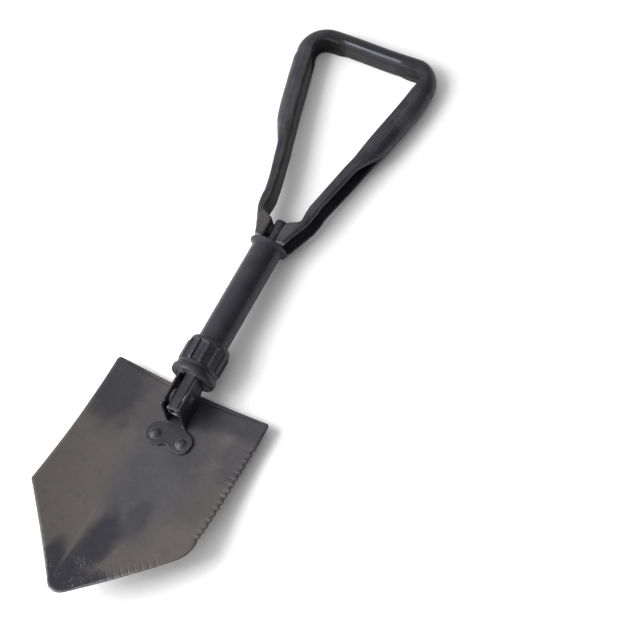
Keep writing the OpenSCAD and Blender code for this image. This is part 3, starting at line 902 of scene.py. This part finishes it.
def nut_ribs():
    """(height, radius, rib) from the plain band up the ribs and over the shoulder."""
    band, shoulder = NUT_LOW + 11, NUT_TOP - 4.5
    rows = [(band - 0.6, NUT_BODY + 0.6, 0)]
    for k in range(46):
        y = lerp(band, shoulder, k / 45)
        rib = smooth(band - 0.2, band + 1.6, y) * smooth(shoulder, shoulder - 2.5, y)
        out = 0.6 * (1 - smooth(band, band + 1.4, y)) + 0.25 * smooth(shoulder - 2, shoulder, y)
        rows.append((y, NUT_BODY + out, rib))
    for k in range(1, 9):
        a = k / 8 * pi / 2
        r = lerp(TUBE_R + 1.0, NUT_BODY + 0.25, cos(a) ** 0.7)
        rows.append((shoulder + (NUT_TOP - shoulder) * sin(a), r, 0))
    return rows


def nut_bore():
    """(height, radius, rib) from the top down the bore, which runs on the tube above its thread."""
    on_tube = TUBE_R + RUNNING_GAP
    return [(NUT_TOP, TUBE_R + 0.5, 0), (NUT_TOP - 0.4, on_tube, 0), (NUT_TOP - 5, on_tube, 0),
            (NUT_TOP - 5.5, NUT_BORE, 0), (NUT_LOW + 4.2, NUT_BORE, 0), (NUT_LOW + 4.1, NUT_MOUTH, 0)]


def build_nut():
    """The locking nut: ribs, a plain band, a groove and a rounded rim round its mouth."""
    bm = bmesh.new()
    rows = [nut_row(*spot) for spot in nut_mouth() + nut_ribs() + nut_bore()]
    add_grid(bm, rows, wrap_rows=True)
    return finish_mesh("nut_sleeve", bm, NUT, "nut_group", ["locking_nut"], 45)


# ---------------- grip

def half_section(depth, inset, edge, opened, reach, count=44):
    """Half of the grip's section from the middle of the web, as (distance from the web, height).

    Closed, it runs round the outer side; opened, it stops at reach with its edge rolled inwards.
    """
    half = GRIP_HALF - inset
    r = max(0.6, edge - inset)
    roll = EDGE_ROLL - inset
    web, corner = half - r, r * pi / 2
    round_from = depth - GRIP_HALF
    out = []
    for end, bend, swing in ((round_from, half, pi / 2), (reach - EDGE_ROLL, roll, radians(100))):
        flange = end - inset - r
        total = web + corner + flange + bend * swing
        shape = []
        for k in range(count + 1):
            d = total * k / count
            if d < web:
                shape.append(Vector((inset, d)))
            elif d < web + corner:
                a = (d - web) / r
                shape.append(Vector((inset + r - r * cos(a), web + r * sin(a))))
            elif d < web + corner + flange:
                shape.append(Vector((inset + r + d - web - corner, half)))
            else:
                a = (d - web - corner - flange) / bend
                shape.append(Vector((end + bend * sin(a), half - bend + bend * cos(a))))
        out.append(shape)
    return [a.lerp(b, opened) for a, b in zip(*out)]


Station = namedtuple("Station", "inner outward depth edge opened reach wear")


def clamp_index(i, n):
    return max(0, min(n - 1, i))


def spline(a, b, c, d, t):
    """Smooth curve through four values, between the second and the third."""
    bend = (2 * a - 5 * b + 4 * c - d) * t * t + (3 * b - a - 3 * c + d) * t ** 3
    return 0.5 * (2 * b + (c - a) * t + bend)


def foot_stations():
    """Stations from the foot's lower end to the leg, each between an inner and an outer point."""
    foot = [
        # inner x, inner y, outer x, outer y
        (7.6, GRIP_LOW + 0.1, 11.5, GRIP_LOW + 0.2), (6.5, GRIP_LOW + 0.9, 13.8, GRIP_LOW + 1.4),
        (6.2, GRIP_LOW + 3.5, 15.4, GRIP_LOW + 4.2), (6.2, 173, 17.2, 173.5), (6.3, 181, 19.4, 178.5),
        (7.1, 186.2, 21.0, 182.6), (11.2, 189, 22.8, 186.5), (16.6, 191.8, 24.4, 190.5),
        (18.5, 195, 26, 194.5), (18.5, 203, 27.6, 202), (18.98, 212, 28.6, 210)]
    steps = 5
    stations = []
    for i in range(len(foot) - 1):
        ends = [foot[clamp_index(i + d, len(foot))] for d in (-1, 0, 1, 2)]
        for k in range(steps):
            p = [spline(*(e[c] for e in ends), k / steps) for c in range(4)]
            inner, outer = Vector(p[:2]), Vector(p[2:])
            across = outer - inner
            wear = smooth(168.5, 165, inner.y)
            stations.append(Station(inner, across.normalized(), 24, 2.6, 1, max(6.6, across.length), wear))
    return stations


def leg_stations(corner):
    """Stations up the straight leg, which is open at the foot, and closed and a little deeper above."""
    down = Vector((-sin(LEG_LEAN), -cos(LEG_LEAN)))
    out = Vector((cos(LEG_LEAN), -sin(LEG_LEAN)))
    length, steps = 160, 100
    stations = []
    for k in range(steps + 1):
        along = length * (1 - k / steps)
        swell = smooth(105, 60, along) * smooth(1, 7, along)
        inner = corner + out * (CORNER_R - 0.6 * swell) + down * along
        opened = smooth(74, 112, along)
        reach = lerp(10.8, 9.3, smooth(110, length, along))
        stations.append(Station(inner, out, GRIP_DEPTH + 1.7 * swell, 3, opened, reach, 0.0))
    return stations


def bar_stations(corner):
    """Stations round the corner and along the bar to its middle."""
    steps = 26
    stations = []
    for k in range(1, steps + 1):
        a = lerp(-LEG_LEAN, pi / 2, k / steps)
        direction = Vector((cos(a), sin(a)))
        stations.append(Station(corner + direction * CORNER_R, direction, GRIP_DEPTH, 3, 0, 12, 0.0))
    for k in range(1, steps + 1):
        x = CORNER_X * (1 - k / steps)
        edge = lerp(3, 6, smooth(40, 27, abs(x)))
        stations.append(Station(Vector((x, BAR_INNER)), Vector((0, 1)), GRIP_DEPTH, edge, 0, 12, 0.0))
    return stations


def grip_section(station, inset):
    """The whole section at a station, from the rear flange's edge round to the front one's."""
    shape = (station.depth, inset, station.edge, station.opened)
    rear = half_section(*shape, station.reach + REAR_EXTRA)
    front = half_section(*shape, station.reach)
    return [(p.x, -p.y) for p in rear[:0:-1]] + [(p.x, p.y) for p in front]


def pressed(station, u, z):
    """A point of the section in the grip's plane, with the bar's corners pressed in, and flat behind."""
    along_x, along_y = station.inner
    in_corner = smooth(24, 40, abs(along_x)) * smooth(BAR_INNER - 34, BAR_INNER - 12, along_y)
    on_web = smooth(6, 3, u) * smooth(GRIP_HALF - 1.2, GRIP_HALF - 4.5, abs(z))
    x, y = station.inner + station.outward * (u + CORNER_SCOOP * in_corner * on_web)
    return x, y, z + CORNER_FLAT * smooth(-6, -9, z) * smooth(46, 58, x) * smooth(330, 360, y)


def out_of_true(x, y):
    """How far the grip is moved sideways and up: its right leg leans in and its left leg is bowed."""
    up = clamp((y - GRIP_PIN_Y - 30) / 170)
    leaning = -4.0 * up * smooth(-50, 50, x) - 3.0 * smooth(330, 375, y) * smooth(40, 70, x)
    bowed = 1.9 * smooth(195, 235, y) * smooth(310, 265, y) * (1 if x < 0 else 0)
    return leaning + bowed, 2.4 * smooth(330, 380, y) * smooth(30, -45, x)


def paint_marks(station, side, across, spot, run):
    """What the paint reads: the web, the painted highlight along the bar's lip, the worn feet, and the
    place across and along the sheet.
    """
    x, y, z = spot
    on_bar = smooth(46, 26, abs(x)) * smooth(BAR_INNER - 1, BAR_INNER, y)
    # Where the painted highlight runs along the bar's lip
    lip = on_bar * exp(-((across - 4.2) / 1.7) ** 2) * (1 if z > 4 else 0.3)
    web_reach = 9 if side < 0 else 4
    return smooth(web_reach, web_reach / 3, across), lip, station.wear, across + z, run


def close_seams(bm, verts, closed):
    """Joins the sheet's two long edges where the section is closed, and caps the ends of both feet."""
    columns = len(verts[0])
    outer_end = columns // 2
    doomed = []
    for i in range(len(verts) - 1):
        if closed[i] and closed[i + 1]:
            for j in (outer_end - 1, columns - 1):
                a, b = verts[i], verts[i + 1]
                k = (j + 1) % columns
                doomed.append(bm.faces.get((a[j], a[k], b[k], b[j])))
    bmesh.ops.delete(bm, geom=doomed, context="FACES_ONLY")
    bm.faces.new(verts[0])
    bm.faces.new(verts[-1])
    bmesh.ops.triangulate(bm, faces=[f for f in bm.faces if len(f.verts) > 4])
    seam = [v for row, shut in zip(verts, closed) if shut
            for v in (row[0], row[outer_end - 1], row[outer_end], row[-1])]
    bmesh.ops.remove_doubles(bm, verts=seam, dist=0.02 * MM)


def build_grip():
    """The grip: one pressed sheet swept from foot to foot, closed round the bar, open lower down."""
    corner = Vector((CORNER_X, CORNER_Y))
    stations = foot_stations() + leg_stations(corner) + bar_stations(corner)
    path = [(s, 1) for s in stations] + [(s, -1) for s in stations[-2::-1]]
    rows, marks = [], []
    run, before = 0.0, stations[0].inner
    for station, side in path:
        run += (station.inner - before).length
        before = station.inner
        row = []
        for across, height in grip_section(station, 0) + grip_section(station, GRIP_SHEET)[::-1]:
            x, y, z = pressed(station, across, height)
            lean, lift = out_of_true(side * x, y)
            row.append((side * x + lean, y + lift, z))
            marks.append(paint_marks(station, side, across, (x, y, z), run))
        rows.append(row)
    bm = bmesh.new()
    # The second layer holds the painted highlight along the bar's lip
    layers = [bm.verts.layers.float.new(name) for name in ("web", "lip_highlight", "ends", "across", "along")]
    verts = add_grid(bm, rows)
    for v, values in zip((v for row in verts for v in row), marks):
        for layer, value in zip(layers, values):
            v[layer] = value
    close_seams(bm, verts, [station.opened == 0 for station, _ in path])
    skewed(bm, GRIP_SKEW, GRIP_PIN_Y)
    return finish_mesh("grip_shell", bm, GRIP, "grip_group", ["grip_frame"], 50)


# ---------------- carried-over parts, floor, light, camera

def dress(nodes, material):
    """Gives CAD nodes that stay a finished material and slightly eased edges."""
    for name in nodes:
        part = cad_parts[name]
        part.data.materials.clear()
        part.data.materials.append(material)
        bevel = part.modifiers.new("eased", "BEVEL")
        bevel.width = 0.12 * MM
        bevel.segments = 2
        bevel.limit_method = "ANGLE"
        bevel.angle_limit = radians(50)


def floor_heights():
    """The plane that the blade's back and the grip's back both touch: its height and slope along Y."""
    grip_low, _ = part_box("grip_frame")
    rest_y = middle("grip_frame").y + 0.1
    blade = [v.co for v in bpy.data.objects["blade_sheet"].data.vertices]
    slope = max((grip_low.z - v.z) / (rest_y - v.y) for v in blade)
    return grip_low.z - slope * rest_y, slope


def build_floor():
    height, slope = floor_heights()
    size = 6.0
    bm = bmesh.new()
    corners = [(-size, -size), (size, -size), (size, size), (-size, size)]
    bm.faces.new([bm.verts.new((x, y, height + slope * y - 0.0003)) for x, y in corners])
    mesh = bpy.data.meshes.new("floor")
    bm.to_mesh(mesh)
    bm.free()
    floor_piece = bpy.data.objects.new("floor", mesh)
    bpy.context.scene.collection.objects.link(floor_piece)
    s = Shade("floor_paper")
    mesh.materials.append(s.finish((0.95, 0.95, 0.95, 1), 0.9, specular=0.1))


def view_axes():
    """The camera's right, up and back directions."""
    back = Vector((sin(VIEW_AZIMUTH) * cos(VIEW_ELEVATION), -cos(VIEW_AZIMUTH) * cos(VIEW_ELEVATION),
                   sin(VIEW_ELEVATION)))
    level = Vector((cos(VIEW_AZIMUTH), sin(VIEW_AZIMUTH), 0))
    up = back.cross(level) * cos(VIEW_ROLL) + level * sin(VIEW_ROLL)
    return up.cross(back), up, back


def build_camera():
    right, up, back = view_axes()
    data = bpy.data.cameras.new("camera")
    data.lens = VIEW_LENS
    data.sensor_width = SENSOR
    data.clip_start = 0.01
    camera = bpy.data.objects.new("camera", data)
    turn = Matrix((right, up, back)).transposed().to_4x4()
    camera.matrix_world = Matrix.Translation(VIEW_AIM + back * VIEW_DISTANCE) @ turn
    bpy.context.scene.collection.objects.link(camera)
    bpy.context.scene.camera = camera


def soft_light(name, direction, distance, size, power):
    """A square soft box that faces the shovel."""
    data = bpy.data.lights.new(name, "AREA")
    data.size = size
    data.energy = power
    light = bpy.data.objects.new(name, data)
    aim = at(0, 60, 0)
    light.location = aim + direction.normalized() * distance
    light.rotation_euler = direction.to_track_quat("Z", "Y").to_euler()
    bpy.context.scene.collection.objects.link(light)


def build_lights():
    right, up, back = view_axes()
    soft_light("key", up * 0.25 - right * 1.0 + back * 0.68, 1.7, 1.3, 40)
    soft_light("fill", -up * 0.44 - right * 0.71 + back * 0.54, 1.8, 0.9, 7)
    build_world(up * 0.3 - right * 0.8 + back * 0.5)
    bpy.context.scene.view_settings.view_transform = "Standard"


def build_world(bright_side):
    """White surroundings, brightest towards one side of the studio."""
    world = bpy.data.worlds.new("studio")
    world.use_nodes = True
    nodes, links = world.node_tree.nodes, world.node_tree.links
    place = nodes.new("ShaderNodeTexCoord")
    along = nodes.new("ShaderNodeVectorMath")
    along.operation = "DOT_PRODUCT"
    along.inputs[1].default_value = bright_side.normalized()
    level = nodes.new("ShaderNodeMapRange")
    for name, value in (("From Min", -0.35), ("From Max", 0.9), ("To Min", 0.06), ("To Max", 1.0)):
        level.inputs[name].default_value = value
    background = nodes["Background"]
    background.inputs["Color"].default_value = (1.0, 1.0, 1.0, 1.0)
    links.new(place.outputs["Generated"], along.inputs[0])
    links.new(along.outputs["Value"], level.inputs["Value"])
    links.new(level.outputs[0], background.inputs["Strength"])
    bpy.context.scene.world = world


build_blade()
build_bracket()
build_rivets()
cross_pin("pivot_pin", 0, 4, 9.72, PIN_REACH, 6.2, "blade_group", "blade_pivot_pin")
build_shank()
build_tube()
build_cap()
build_post()
build_nut()
build_grip()
cross_pin("grip_pin", GRIP_PIN_Y, 2.6, 8.02, GRIP_PIN_REACH, 3.7, "grip_group", "grip_pivot_pin")
dress(["rod_nut", "rod_washer", "shank_bush", "shank_cross_pins", "threaded_bush", "pressure_plate",
       "plate_ring"], INNER)
dress(["pivot_washers", "grip_spacers"], HARDWARE)
dress(["pivot_bush"], BRONZE)
build_floor()
build_camera()
build_lights()
